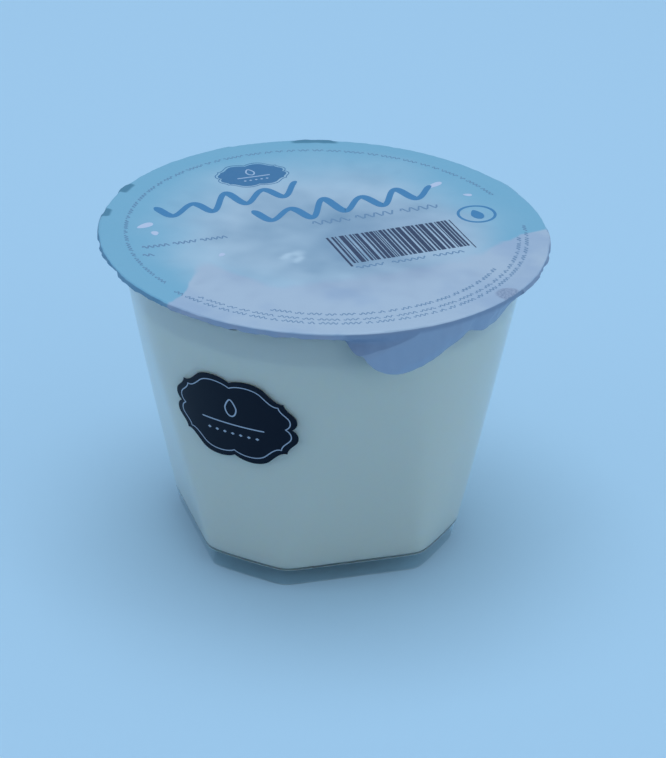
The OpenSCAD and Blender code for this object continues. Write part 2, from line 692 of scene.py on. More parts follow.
@dataclass
class Cup:
    """The clear cup: foot, skirt, raised floor, wall and flange, as one closed shell."""

    form: PotForm
    finish: ClearPlastic
    around: int = 240
    foot_round: float = 0.38 * MM
    floor_fillet: float = 0.3 * MM
    skirt_fillet: float = 0.2 * MM
    flange_fillet: float = 0.7 * MM
    # Share of the wall's outline and dip in millimetres, from the gate mark out to the skirt.
    underside: tuple[Pair, ...] = (
        (0.04, 0.35), (0.06, 0.3), (0.075, 0.0), (0.3, 0.0), (0.5, 0.0), (0.52, -0.15), (0.72, -0.15),
        (0.74, 0.0), (0.93, 0.0),
    )
    foot_heights_mm: tuple[float, ...] = (0.8, 1.6, 2.6, 3.7, 4.5, 6)
    wall_heights_mm: tuple[float, ...] = (8, 11, 14, 17, 20, 23, 26, 30, 34, 38, 42, 46, 50, 54, 57, 59)

    def _wall_ring(self, z: float, inset: float) -> list[Vector]:
        """Return a ring on the wall at a height and inset."""
        return [self.form.at(t, z, inset) for t in all_round(self.around)]

    def _round_ring(self, r: float, z: float) -> list[Vector]:
        """Return a circular ring."""
        return [Vector((r * math.cos(t), r * math.sin(t), z)) for t in all_round(self.around)]

    def _scaled_ring(self, share: float, z: float, inset: float) -> list[Vector]:
        """Return a ring with the wall's outline, shrunk to a share of it."""
        return [Vector((p.x * share, p.y * share, z)) for p in self._wall_ring(z, inset)]

    def _underside(self) -> list[list[Vector]]:
        """Lay out the floor's underside and the inner wall of the skirt.

        Returns:
            Rings of points, from the middle out and down.
        """
        form = self.form
        low = form.floor_z - form.floor_t
        rings = []
        for share, dip in self.underside:
            rings.append(self._scaled_ring(share, low - dip * MM, form.wall))
        round_in = self.skirt_fillet
        for inset, z in arc((form.wall + round_in, low - round_in), round_in, 90, 180, 3):
            rings.append(self._wall_ring(z, inset))
        return rings

    def _foot(self) -> list[list[Vector]]:
        """Return the rings round the skirt's lower edge, from inside to outside."""
        half = self.form.wall / 2
        return [
            self._wall_ring(z, half - side)
            for side, z in arc((0.0, self.foot_round), self.foot_round, 180, 360, 8)
        ]

    def _flange(self) -> list[list[Vector]]:
        """Lay out the flange.

        Returns:
            Rings of points, from under it, round its edge and over its top.
        """
        form = self.form
        rings = []
        fillet = self.flange_fillet
        for side, z in arc((fillet, form.shoulder_z - fillet), fillet, 180, 90, 4):
            rings.append(self._wall_ring(z, -side))
        edge = form.flange_t / 2
        rings.append(self._round_ring(form.rim_r - edge, form.shoulder_z))
        for r, z in arc((form.rim_r - edge, form.shoulder_z + edge), edge, -70, 90, 8):
            rings.append(self._round_ring(r, z))
        return rings

    def build(self) -> bpy.types.Object:
        """Build the cup.

        Returns:
            Its piece, which replaces the cup's solid.
        """
        form = self.form
        rings = self._underside() + self._foot()
        rings += [self._wall_ring(h * MM, 0.0) for h in self.foot_heights_mm + self.wall_heights_mm]
        rings += self._flange()
        rings += [self._wall_ring(form.height - 0.05 * MM, form.wall)]
        rings += [self._wall_ring(h * MM, form.wall) for h in reversed(self.wall_heights_mm)]
        low = form.floor_z
        fillet = self.floor_fillet
        for inset, z in arc((form.wall + fillet, low + fillet), fillet, 180, 270, 5):
            rings.append(self._wall_ring(z, inset))
        rings += [self._scaled_ring(share, low, form.wall) for share in (0.9, 0.5, 0.2)]
        maker = MeshMaker("clear_cup")
        gate_z = form.floor_z - form.floor_t - self.underside[0][1] * MM
        maker.shell(rings, Vector((0, 0, gate_z)), Vector((0, 0, form.floor_z)))
        piece = maker.build([self.finish.material()], sharp_deg=60)
        piece.visible_shadow = False
        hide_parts("cup")
        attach(piece, "root")
        return piece


@dataclass
class YogurtFill:
    """The yogurt: it fills the cup to its level, and a thin film of it clings to the wall above."""

    form: PotForm
    finish: Cream
    around: int = 240
    bite: float = 0.12 * MM
    film: float = 0.3 * MM
    meniscus: float = 0.9 * MM
    corner: float = 0.35 * MM
    floor_bite: float = 0.35 * MM
    wall_steps: int = 26
    # Inset in millimetres and share of the meniscus, from the film in to the level surface.
    meniscus_profile: tuple[Pair, ...] = ((0.8, 0.5), (1.6, 0.2), (3.0, 0.05), (6.0, 0.0))

    def _film_top(self, angle: float) -> float:
        """Return the height of the clinging film's upper edge.

        Args:
            angle: Direction from the axis.

        Returns:
            The height in metres.
        """
        ripple = wobble(3.0 * math.cos(angle), 3.0 * math.sin(angle), 4.0)
        reach = self.form.shoulder_z - self.form.level_z
        return self.form.level_z + reach * min(0.93, 0.8 + 0.25 * ripple)

    def build(self) -> bpy.types.Object:
        """Build the yogurt.

        Returns:
            Its piece, which replaces the yogurt's solid.
        """
        form = self.form
        outer = form.wall - self.bite
        turns = all_round(self.around)
        low = form.floor_z - self.floor_bite
        rings = [
            [form.at(t, low, outer).lerp(Vector((0, 0, low)), 1 - share) for t in turns]
            for share in (0.3, 0.7, 0.97)
        ]
        for inset, z in arc((outer + self.corner, low + self.corner), self.corner, 270, 180, 5):
            rings.append([form.at(t, z, inset) for t in turns])
        top = form.level_z
        for i in range(1, self.wall_steps + 1):
            z = mix(low + self.corner, top, i / self.wall_steps)
            rings.append([form.at(t, z, outer) for t in turns])
        for share in (0.35, 0.7, 1.0):
            rings.append([form.at(t, mix(top, self._film_top(t), share), outer) for t in turns])
        for share in (1.0, 0.7, 0.35, 0.12):
            inner = outer + self.film
            rings.append([form.at(t, mix(top, self._film_top(t), share), inner) for t in turns])
        for inset, rise in self.meniscus_profile:
            rings.append([form.at(t, top + rise * self.meniscus, outer + inset * MM) for t in turns])
        for share in (0.75, 0.5, 0.25):
            ring = []
            for t in turns:
                p = form.at(t, top, outer)
                x, y = p.x * share, p.y * share
                ring.append(Vector((x, y, top + 0.25 * MM * wobble(x * 60, y * 60, 1.0))))
            rings.append(ring)
        maker = MeshMaker("yogurt_fill")
        maker.shell(rings, Vector((0, 0, low)), Vector((0, 0, top)))
        piece = maker.build([self.finish.material()], sharp_deg=70)
        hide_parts("yogurt")
        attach(piece, "root")
        return piece


# ---------------------------------------------------------------------------------------------
# Foil lid
# ---------------------------------------------------------------------------------------------


PRINT_TURN = math.radians(50.0)  # the print's own right-hand direction, from +X towards +Y
FOLD_LINE = (0.553, 0.117)  # slope and start of the tab's small fold, in shares of its drop and width


def print_place(tree: Tree, place: bpy.types.NodeSocket) -> tuple[object, object, object, object]:
    """Add nodes that turn object coordinates into the print's own, in millimetres.

    Args:
        tree: The material's tree.
        place: Object coordinates.

    Returns:
        Sockets for across, up, the distance from the axis, and the height.
    """
    turned_place = tree.add("ShaderNodeMapping", Vector=place)
    turned_place.inputs["Rotation"].default_value = (0.0, 0.0, -PRINT_TURN)
    turned_place.inputs["Scale"].default_value = (1000.0, 1000.0, 1000.0)
    parts = tree.add("ShaderNodeSeparateXYZ", Vector=turned_place.outputs[0])
    across, up, height = parts.outputs
    squares = [tree.math("MULTIPLY", side, side) for side in (across, up)]
    span = tree.math("SQRT", tree.math("ADD", *squares))
    return across, up, span, height


@dataclass(frozen=True)
class LidColours:
    """The colour fields printed on the foil, and the shade painted on its lifted flaps, its downturned side
    and its tab.
    """

    pale: Colour = (0.68, 0.78, 0.83)
    ring: Colour = (0.26, 0.56, 0.69)
    # Painted shade: the shaded side of the foil's lifted flaps at the back.
    lifted_flap_shade: Colour = (0.05, 0.23, 0.33)
    splash: Colour = (0.62, 0.68, 0.75)
    splash_shade: Colour = (0.50, 0.58, 0.70)
    tab: Colour = (0.28, 0.35, 0.48)
    bare: Colour = (0.42, 0.45, 0.55)
    bare_dark: Colour = (0.26, 0.30, 0.42)
    # Painted shade: the next two colours are the ring's and the splash's print as shaded on the sheet's
    # downturned side.
    edge: Colour = (0.10, 0.25, 0.38)
    side_shade_pale: Colour = (0.27, 0.32, 0.44)
    splash_edge: float = -19.5
    hump_at: float = -26.5
    hump_w: float = 6.0
    hump_h: float = 14.0
    glow_at: Pair = (14.0, -8.0)
    # Painted shade on the tab just under the rim and along its small fold.
    tab_shade: Colour = (0.17, 0.22, 0.34)
    patch_at: Pair = (22.6, -35.6)
    # Direction in degrees, distance from the axis and reach of each spot of painted shade where the foil's
    # edge is lifted at the back, in millimetres.
    lifted_flap_spots: tuple[Point, ...] = ((71.0, 42.3, 5.2), (134.0, 42.4, 2.4), (150.0, 42.6, 2.0))
    tab_side: Pair = (math.cos(math.radians(-80.0)), math.sin(math.radians(-80.0)))

    def paint(self, tree: Tree, place: bpy.types.NodeSocket) -> bpy.types.NodeSocket:
        """Return the printed colour at a place, with the painted shade on the lifted flaps, the downturned
        side and the tab.

        Args:
            tree: The material's tree.
            place: Object coordinates.

        Returns:
            The colour socket.
        """
        across, up, span, height = print_place(tree, place)
        cloud = tree.add("ShaderNodeTexNoise", Vector=place, Scale=60.0, Detail=3.0).outputs[0]
        drift = tree.math("MULTIPLY_ADD", cloud, 14.0, tree.math("SUBTRACT", span, 7.0))
        sky = tree.blend(tree.ramp(drift, 17.0, 40.0), opaque(self.pale), opaque(self.ring))
        inside = self._inside_splash(tree, place, across, up, span)
        creamy = tree.blend(tree.ramp(cloud, 0.42, 0.66), opaque(self.splash), opaque(self.splash_shade))
        colour = tree.blend(inside, sky, creamy)
        glow = tree.from_spot(across, up, self.glow_at)
        colour = tree.blend(tree.ramp(glow, 30.0, 420.0, 0.55, 0.0), colour, opaque(self.splash))
        colour = self._with_bare_corner(tree, place, across, up, colour)
        # Painted shade: dark teal at the rim where the foil's edge is lifted at the back.
        at_rim = tree.ramp(span, 41.2, 41.9)
        outer = tree.math("MULTIPLY", self._lifted_flap_shade(tree, across, up), at_rim)
        colour = tree.blend(outer, colour, opaque(self.lifted_flap_shade))
        # Painted shade on the sheet's downturned side, in shaded copies of the ring's and the splash's print.
        on_side = tree.ramp(height, 62.3, 62.55, 1.0, 0.0)
        hanging = tree.ramp(height, 60.6, 61.2, 1.0, 0.0)
        side_shade_colour = tree.blend(inside, opaque(self.edge), opaque(self.side_shade_pale))
        colour = tree.blend(on_side, colour, side_shade_colour)
        sides = [tree.math("MULTIPLY", way, side) for way, side in zip((across, up), self.tab_side)]
        near_tab = tree.ramp(tree.math("ADD", *sides), 38.1, 38.6)
        sheet = tree.math("MAXIMUM", hanging, tree.math("MULTIPLY", on_side, near_tab))
        return tree.blend(sheet, colour, self._tab_colour(tree, across, up, height))

    def _inside_splash(
        self, tree: Tree, place: bpy.types.NodeSocket, across: object, up: object, span: object,
    ) -> bpy.types.NodeSocket:
        """Return the mask of the pale splash, whose lip is sharp at the rim and soft near the middle.

        Args:
            tree: The material's tree.
            place: Object coordinates.
            across: The print's across.
            up: The print's up.
            span: Distance from the axis.

        Returns:
            The mask's socket.
        """
        hump = tree.math("DIVIDE", tree.math("SUBTRACT", across, self.hump_at), self.hump_w)
        hump = tree.math("EXPONENT", tree.math("MULTIPLY", tree.math("MULTIPLY", hump, hump), -1.0))
        lip = tree.math("MULTIPLY_ADD", hump, self.hump_h, self.splash_edge)
        lip = tree.math("ADD", lip, tree.ramp(across, 20.0, 40.0, 0.0, 8.0))
        ripple = tree.add("ShaderNodeTexNoise", Vector=place, Scale=150.0, Detail=2.0).outputs[0]
        lip = tree.math("ADD", lip, tree.math("MULTIPLY_ADD", ripple, 5.0, -2.5))
        depth = tree.math("SUBTRACT", lip, up)
        softness = tree.ramp(span, 24.0, 38.0, 4.5, 0.7)
        return tree.ramp(tree.math("DIVIDE", depth, softness), -0.5, 0.5)

    def _with_bare_corner(
        self, tree: Tree, place: bpy.types.NodeSocket, across: object, up: object, colour: object,
    ) -> bpy.types.NodeSocket:
        """Return a colour with the worn patch of bare, flecked foil over it.

        Args:
            tree: The material's tree.
            place: Object coordinates.
            across: The print's across.
            up: The print's up.
            colour: The printed colour.

        Returns:
            The colour's socket.
        """
        fleck = tree.add("ShaderNodeTexNoise", Vector=place, Scale=2600.0, Detail=1.0).outputs[0]
        silver = tree.blend(tree.ramp(fleck, 0.48, 0.56), opaque(self.bare), opaque(self.bare_dark))
        ragged = tree.math("MULTIPLY_ADD", fleck, 5.0, tree.from_spot(across, up, self.patch_at))
        return tree.blend(tree.ramp(ragged, 7.0, 10.0, 0.85, 0.0), colour, silver)

    def _tab_colour(self, tree: Tree, across: object, up: object, height: object) -> bpy.types.NodeSocket:
        """Return the tab's colour, with painted shade just under the rim and on the small fold at its left
        end.

        Args:
            tree: The material's tree.
            across: The print's across.
            up: The print's up.
            height: Height over the foot.

        Returns:
            The colour's socket.
        """
        ways = zip((across, up), (-self.tab_side[1], self.tab_side[0]))
        along = tree.math("ADD", *[tree.math("MULTIPLY", way, share) for way, share in ways])
        down = tree.ramp(height, 52.8, 62.8, 1.0, 0.0)
        slope, start = FOLD_LINE
        line = tree.math("MULTIPLY_ADD", down, slope, start)
        fold = tree.math("ADD", tree.math("DIVIDE", along, 39.0), line)
        # Painted shade along the small fold and just under the rim.
        on_fold = tree.ramp(fold, -0.015, 0.012, 0.75, 0.0)
        under_rim = tree.ramp(height, 61.0, 61.9, 0.0, 0.7)
        dark = tree.math("MAXIMUM", on_fold, under_rim)
        return tree.blend(dark, opaque(self.tab), opaque(self.tab_shade))

    def _lifted_flap_shade(self, tree: Tree, across: object, up: object) -> bpy.types.NodeSocket:
        """Return the mask of the painted shade where the foil's edge has come up at the back.

        Args:
            tree: The material's tree.
            across: The print's across.
            up: The print's up.

        Returns:
            The mask's socket.
        """
        total = 0.0
        for turn, r, half in self.lifted_flap_spots:
            spot = (r * math.cos(math.radians(turn)), r * math.sin(math.radians(turn)))
            off = tree.from_spot(across, up, spot)
            total = tree.math("MAXIMUM", total, tree.ramp(off, 0.5 * half * half, half * half, 0.9, 0.0))
        return total


@dataclass
class FoilLid:
    """The foil lid: sealed on the flange, drooping past it all round, and folded down into the pull tab."""

    form: PotForm
    printed: Foil
    bare: Foil
    colours: LidColours
    around: int = 540
    thickness: float = 0.1 * MM
    seat: float = 0.22 * MM
    sag: float = 0.3 * MM
    reach_r: float = min(*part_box("lid")[1][:2], *(-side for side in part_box("lid")[0][:2]))
    top_z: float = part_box("lid")[1][2]
    bend_r: float = 42.66 * MM
    bend: float = 0.28 * MM
    droop: float = 1.25 * MM
    tab_dir: float = math.radians(-30.0)
    tab_w: float = 39.0 * MM
    tab_drop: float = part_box("lid")[1][2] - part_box("lid")[0][2] - 0.3 * MM
    lean: float = math.radians(95.0)
    clearance: float = 0.01 * MM
    slack_r: float = 33 * MM
    seal_r: float = 38.5 * MM
    buckle: float = 0.05 * MM
    ray_start_r: float = 28 * MM
    ray_end_r: float = 37 * MM
    ray_count: int = 38
    press_r: float = 39.4 * MM
    press_w: float = 0.55 * MM
    press_depth: float = 0.07 * MM
    knurl_h: float = 0.075 * MM
    nub_at: Pair = (0.1 * MM, -12.7 * MM)
    nub_r: float = 1.6 * MM
    nub_h: float = 0.10 * MM
    shortest: float = 1.3 * MM
    lifted_length: float = 1.15 * MM
    edge_steps: int = 18
    # Radii of the flat part's rings, in millimetres.
    radii_mm: tuple[float, ...] = (
        1.5, 3.5, 6, 8.5, 11, 12.2, 13.4, 15, 17, 19, 21, 23, 25, 27, 29, 30.8, 32.4, 34,
        35.4, 36.6, 37.6, 38.4, 38.9, 39.4, 39.9, 40.5, 41.2, 41.9, 42.4, 42.7,
    )
    # Direction, half width and final turn of each stretch where the edge stands out, in degrees.
    lifts: tuple[Point, ...] = (
        (121.0, 7.5, 6.0), (184.0, 3.2, 6.0), (146.0, 4.0, 14.0), (96.0, 6.0, 22.0), (62.0, 7.0, 18.0),
        (205.0, 5.0, 35.0), (28.0, 4.5, 30.0),
    )

    # Share of the tab's width and of its drop along its lower edge.
    tab_outline: tuple[Pair, ...] = (
        (-0.5, 0.12), (-0.475, 0.32), (-0.45, 0.47), (-0.43, 0.52), (-0.41, 0.53), (-0.385, 0.68),
        (-0.36, 0.79), (-0.33, 0.87), (-0.29, 0.94), (-0.25, 0.98), (-0.2, 1.0), (-0.16, 0.985),
        (-0.12, 0.94), (-0.05, 0.82), (0.01, 0.69), (0.08, 0.53), (0.13, 0.43), (0.155, 0.42),
        (0.2, 0.48), (0.24, 0.53), (0.3, 0.56), (0.36, 0.58), (0.41, 0.565), (0.44, 0.52),
        (0.48, 0.4), (0.5, 0.12),
    )

    def relief(self, x: float, y: float) -> float:
        """Return how far the flat part of the foil lies above its seat: a slight sag with soft buckles.

        Args:
            x: Place along +X.
            y: Place along +Y.

        Returns:
            The offset in metres.
        """
        r = math.hypot(x, y)
        inner = 1.0 - smooth_step(self.slack_r, self.seal_r, r)
        sag = -self.sag * inner * (1.0 - (r / self.seal_r) ** 2 * 0.6)
        buckles = self.buckle * wobble(x * 75, y * 75, 2.0) * inner
        ray = math.sin(self.ray_count * math.atan2(y, x) + 3 * wobble(x * 30, y * 30, 7.0))
        radial = self.buckle * ray * smooth_step(self.ray_start_r, self.ray_end_r, r) * inner
        pressed = -self.press_depth * math.exp(-(((r - self.press_r) / self.press_w) ** 2))
        knurl = self.knurl_h * wobble(x * 520, y * 520, 3.0) * smooth_step(self.seal_r, 40 * MM, r)
        dimple = math.hypot(x - self.nub_at[0], y - self.nub_at[1]) / self.nub_r
        nub = self.nub_h * math.exp(-((dimple - 0.9) ** 2) * 6.0)
        return sag + buckles + radial + pressed + knurl + nub

    def top(self, x: float, y: float) -> float:
        """Return the height of the foil's printed side over a place on the flat part."""
        return min(self.form.height + self.seat + self.relief(x, y), self.top_z - self.clearance)

    def _tab_depth(self, off: float) -> float:
        """Return how far the tab hangs below the rim.

        Args:
            off: Turn from the tab's middle.

        Returns:
            The depth in metres, 0 off the tab.
        """
        u = math.sin(off) * self.bend_r / self.tab_w
        if abs(off) > math.pi / 2 or not self.tab_outline[0][0] <= u <= self.tab_outline[-1][0]:
            return 0.0
        for (u0, d0), (u1, d1) in zip(self.tab_outline, self.tab_outline[1:]):
            if u <= u1:
                return mix(d0, d1, (u - u0) / (u1 - u0)) * self.tab_drop
        return 0.0

    def _edge(self, angle: float) -> tuple[float, float, float]:
        """Return how the sheet ends in a direction.

        Args:
            angle: Direction from the axis.

        Returns:
            The length past the bend, the sheet's final turn, and 1 over the tab or 0 elsewhere.
        """
        off = turn_from(angle, self.tab_dir)
        c, s = math.cos(angle), math.sin(angle)
        slow = wobble(c * 5, s * 5, 1.5)
        quick = wobble(c * 13, s * 13, 5.5, octaves=2)
        length = max(self.shortest, self.droop * (1.05 + 0.6 * slow + 0.6 * quick))
        turn = math.radians(max(48.0, 80 + 46 * slow + 38 * quick))
        for centre, half, lift in self.lifts:
            share = math.exp(-((math.degrees(turn_from(angle, math.radians(centre))) / half) ** 4))
            turn = mix(turn, math.radians(lift), share)
            length = mix(length, self.lifted_length, share)
        depth = self._tab_depth(off)
        if depth > 0.0:
            over = smooth_step(0.0, 2.2 * MM, depth)
            return max(length * (1 - over), depth + 0.2 * MM), mix(turn, self.lean, over), 1.0
        return length, turn, 0.0

    def _crumple(self, angle: float, reach: float, on_tab: float) -> float:
        """Return how far a place past the bend moves outward, from creases and buckles.

        Args:
            angle: Direction from the axis.
            reach: Length along the sheet from the bend.
            on_tab: 1 over the tab, 0 elsewhere.

        Returns:
            The offset in metres.
        """
        c, s = math.cos(angle), math.sin(angle)
        free = smooth_step(0.0, 1.2 * MM, reach)
        edge = 0.24 * MM * wobble(c * 20, s * 20, reach * 200, octaves=2) * free
        if not on_tab:
            return edge
        u = math.sin(turn_from(angle, self.tab_dir)) * self.bend_r / self.tab_w
        down = reach / self.tab_drop
        past_fold = -(u + FOLD_LINE[1] + FOLD_LINE[0] * down)
        crease = -0.3 * MM * math.exp(-((past_fold / 0.045) ** 2))
        side = -10 * MM * max(0.0, past_fold)
        diagonal = -5.0 * MM * max(0.0, u + 0.62 * down - 0.34)
        notch = -0.6 * MM * math.exp(-(((u - 0.17) / 0.035) ** 2))
        right = notch + 0.25 * MM * math.exp(-(((u - 0.27) / 0.04) ** 2))
        broad = 0.22 * MM * wobble(c * 9, s * 9, down * 1.6)
        clear = smooth_step(1.2 * MM, 3.2 * MM, reach)
        return edge * 0.6 + max(-2.2 * MM, crease + side + diagonal + right + broad) * clear

    def _past_bend(self, angle: float, share: float) -> tuple[Vector, Vector]:
        """Return a point past the bend and the sheet's outward normal there.

        Args:
            angle: Direction from the axis.
            share: From 0 at the bend's start to 1 at the foil's edge.

        Returns:
            The point on the printed side, and its normal.
        """
        length, turn, on_tab = self._edge(angle)
        reach = length * share
        down = 1.0 if turn >= 0 else -1.0
        theta = min(reach / self.bend, abs(turn))
        straight = max(0.0, reach - self.bend * abs(turn))
        r = self.bend_r + self.bend * math.sin(theta) + straight * math.cos(theta)
        c, s = math.cos(angle), math.sin(angle)
        drop = self.bend * (1 - math.cos(theta)) + straight * math.sin(theta)
        z = self.top(self.bend_r * c, self.bend_r * s) - down * drop
        r += self._crumple(angle, reach, on_tab) * math.sin(theta)
        r = min(r, self.reach_r - 2 * self.clearance)
        z = min(z, self.top_z - self.clearance)
        side = down * math.sin(theta)
        outward = Vector((side * c, side * s, math.cos(theta)))
        return Vector((r * c, r * s, z)), outward

    def _on_flat(self, r: float, angle: float) -> Vector:
        """Return a point on the printed side of the flat part."""
        x, y = r * math.cos(angle), r * math.sin(angle)
        return Vector((x, y, self.top(x, y)))

    def build(self) -> bpy.types.Object:
        """Build the lid as a thin closed sheet.

        Returns:
            Its piece, which replaces the lid's solid.
        """
        turns = all_round(self.around)
        up = Vector((0, 0, 1))
        faces = [[(self._on_flat(r * MM, t), up) for t in turns] for r in self.radii_mm]
        shares = [i / self.edge_steps for i in range(1, self.edge_steps + 1)]
        faces += [[self._past_bend(t, share) for t in turns] for share in shares]
        maker = MeshMaker("foil_lid")
        top_rows = [maker.ring([p for p, _ in ring]) for ring in faces]
        low_rows = [maker.ring([p - n * self.thickness for p, n in ring]) for ring in faces]
        for a, b in zip(top_rows, top_rows[1:]):
            maker.band(b, a, slot=0)
        for a, b in zip(low_rows, low_rows[1:]):
            maker.band(a, b, slot=1)
        maker.band(low_rows[-1], top_rows[-1], slot=1)
        maker.cap(top_rows[0], Vector((0, 0, self.top(0, 0))), upward=True, slot=0)
        maker.cap(low_rows[0], Vector((0, 0, self.top(0, 0) - self.thickness)), upward=False, slot=1)
        piece = maker.build([self.printed.dressed(self.colours.paint), self.bare.dressed()], sharp_deg=50)
        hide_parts("lid")
        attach(piece, "root")
        return piece


# ---------------------------------------------------------------------------------------------
# Printing: strokes and plates laid on a surface
# ---------------------------------------------------------------------------------------------


Surface = Callable[[float, float, float], Vector]


def bezier(a: Pair, b: Pair, c: Pair, d: Pair, steps: int) -> Path:
    """Return points on a cubic curve, without its last point.

    Args:
        a: The curve's start.
        b: Its first control point.
        c: Its second control point.
        d: Its end.
        steps: Number of points.

    Returns:
        The points as pairs.
    """
    points = []
    for i in range(steps):
        t = i / steps
        k = ((1 - t) ** 3, 3 * t * (1 - t) ** 2, 3 * t * t * (1 - t), t**3)
        points.append(tuple(sum(w * p[n] for w, p in zip(k, (a, b, c, d))) for n in (0, 1)))
    return points


def plaque_outline(width: float, height: float, steps: int = 12) -> Path:
    """Return the plaque's outline: two broad lobes above and below, two small ones at each end.

    Args:
        width: Overall width.
        height: Overall height.
        steps: Points on each curved stretch.

    Returns:
        The closed outline, anticlockwise, without a repeated point.
    """
    quarter = (
        bezier((0.92, 0.0), (0.99, 0.06), (1.02, 0.16), (0.995, 0.27), steps)
        + bezier((0.995, 0.27), (0.97, 0.38), (0.84, 0.46), (0.83, 0.62), steps // 2)
        + bezier((0.83, 0.62), (0.74, 0.58), (0.64, 0.76), (0.56, 0.87), steps)
        + bezier((0.56, 0.87), (0.44, 1.04), (0.16, 1.04), (0.0, 0.9), steps)
    )
    half = quarter + [(0.0, 0.9)] + [(-x, y) for x, y in reversed(quarter)]
    outline = half[:-1] + [(-x, -y) for x, y in half[:-1]]
    return [(x * width / 2, y * height / 2) for x, y in outline]


@dataclass
class Printer:
    """Lays thin closed strokes and plates of one ink on a surface."""

    name: str
    surface: Surface
    lift: float = 0.03 * MM
    sunk: float = -0.04 * MM
    maker: MeshMaker = field(init=False)

    def __post_init__(self) -> None:
        """Start this ink's mesh."""
        self.maker = MeshMaker(self.name)

    def stroke(
        self, path: Path, widths: list[float] | float, closed: bool = False,
    ) -> None:
        """Lay a stroke along a path.

        Args:
            path: Points of the stroke's middle line.
            widths: Its width, or the width at each point.
            closed: Whether the stroke joins its own start.
        """
        count = len(path)
        rows = []
        for i, (x, y) in enumerate(path):
            before = path[i - 1] if closed or i else path[0]
            after = path[(i + 1) % count] if closed or i < count - 1 else path[-1]
            dx, dy = after[0] - before[0], after[1] - before[1]
            span = math.hypot(dx, dy) or 1.0
            half = (widths if isinstance(widths, (int, float)) else widths[i]) / 2
            nx, ny = -dy / span * half, dx / span * half
            rows.append(self.maker.ring([
                self.surface(x + nx, y + ny, self.lift), self.surface(x - nx, y - ny, self.lift),
                self.surface(x - nx, y - ny, self.sunk), self.surface(x + nx, y + ny, self.sunk),
            ]))
        pairs = list(zip(rows, rows[1:])) + ([(rows[-1], rows[0])] if closed else [])
        for a, b in pairs:
            self.maker.band(a, b)
        if not closed:
            self.maker.faces += [tuple(rows[0]), tuple(reversed(rows[-1]))]
            self.maker.slots += [0, 0]

    def rounded(self, path: Path, width: float) -> None:
        """Lay a stroke with rounded ends.

        Args:
            path: Points of the stroke's middle line.
            width: Its width.
        """
        lengths = [0.0]
        for (x0, y0), (x1, y1) in zip(path, path[1:]):
            lengths.append(lengths[-1] + math.hypot(x1 - x0, y1 - y0))
        half = width / 2
        widths = []
        for run in lengths:
            end = min(run, lengths[-1] - run)
            widths.append(width * math.sqrt(max(0.02, 1 - (1 - min(1.0, end / half)) ** 2)))
        self.stroke(path, widths)

    def brush(self, path: Path, thin: float, thick: float) -> None:
        """Lay a stroke with rounded ends that is thin where it climbs and thick where it falls.

        Args:
            path: Points of the stroke's middle line.
            thin: Width where it climbs.
            thick: Width where it falls.
        """
        widths = []
        last = len(path) - 1
        for i, (x, y) in enumerate(path):
            x1, y1 = path[min(i + 2, last)]
            x0, y0 = path[max(i - 2, 0)]
            fall = (y0 - y1) / (math.hypot(x1 - x0, y1 - y0) or 1.0)
            near_end = min(1.0, min(i, last - i) / 6)
            full = mix(thin, thick, smooth_step(-0.8, 0.9, fall))
            widths.append(full * math.sqrt(max(0.03, 1 - (1 - near_end) ** 2)))
        self.stroke(path, widths)

    def dots(self, middle: Pair, each_side: int, pitch: float, half: float, width: float) -> None:
        """Lay a row of short rounded dashes.

        Args:
            middle: The row's middle.
            each_side: How many lie to each side of the middle one.
            pitch: Distance from one to the next.
            half: Half of a dash's length.
            width: Its width.
        """
        y = middle[1]
        for k in range(-each_side, each_side + 1):
            x = middle[0] + k * pitch
            self.rounded([(x - half, y), (x, y), (x + half, y)], width)

    def plate(
        self, outline: Path, middle: Pair = (0.0, 0.0), rings: int = 5,
    ) -> None:
        """Lay a filled plate.

        Args:
            outline: Closed outline, anticlockwise.
            middle: A point inside that sees the whole outline.
            rings: Number of rings between the middle and the outline.
        """
        mx, my = middle
        for level, upward in ((self.lift, True), (self.sunk, False)):
            rows = []
            for k in range(1, rings + 1):
                share = k / rings
                rows.append(self.maker.ring([
                    self.surface(mix(mx, x, share), mix(my, y, share), level) for x, y in outline]))
            for a, b in zip(rows, rows[1:]):
                self.maker.band(*((b, a) if upward else (a, b)))
            self.maker.cap(rows[0], self.surface(mx, my, level), upward)
            if upward:
                top_edge = rows[-1]
            else:
                self.maker.band(rows[-1], top_edge)

    def build(self, ink: Finish, slot: str) -> bpy.types.Object:
        """Make the piece that carries this ink.

        Args:
            ink: The ink.
            slot: Not used.

        Returns:
            The piece.
        """
        piece = self.maker.build([ink.material()], sharp_deg=60)
        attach(piece, "root")
        return piece


def dashes(
    start: float, end: float, rng: random.Random, shortest: float, longest: float, gap: float,
) -> Path:
    """Return the stretches of a broken line, of uneven length.

    Args:
        start: Where the line starts.
        end: Where it ends.
        rng: Draws the lengths.
        shortest: Shortest stretch.
        longest: Longest stretch.
        gap: Gap between two stretches.

    Returns:
        Start and end of each stretch.
    """
    found = []
    at = start
    while at < end - shortest:
        length = min(rng.uniform(shortest, longest), end - at)
        found.append((at, at + length))
        at += length + gap
    return found


def drop_outline(x: float, y: float, size: float) -> Path:
    """Return the outline of a drop with its point up.

    Args:
        x: Its middle across.
        y: Its middle up.
        size: Half of its height.

    Returns:
        The closed outline.
    """
    points = []
    for t in all_round(28):
        taper = 1 - 0.42 * max(0.0, math.sin(t))
        points.append((x + size * 0.62 * math.cos(t) * taper, y + size * math.sin(t)))
    return points


class InkName(Enum):
    """The inks on the lid and the label."""

    BLUE = "title_blue"
    DEEP = "badge_blue"
    DARK = "bar_dark"
    FINE = "fine_grey"
    PETAL = "petal_white"
    PALE = "badge_pale"


@dataclass(frozen=True)
class StraightRow:
    """A straight row of small print, in millimetres."""

    start: float
    end: float
    up: float
    tall: float
    pitch: float
    thick: float
    dash: Pair
    gap: float


@dataclass(frozen=True)
class RingRow:
    """A row of small print that follows the rim: radius and sizes in millimetres, ends in degrees."""

    radius: float
    start: float
    end: float
    tall: float
    thick: float


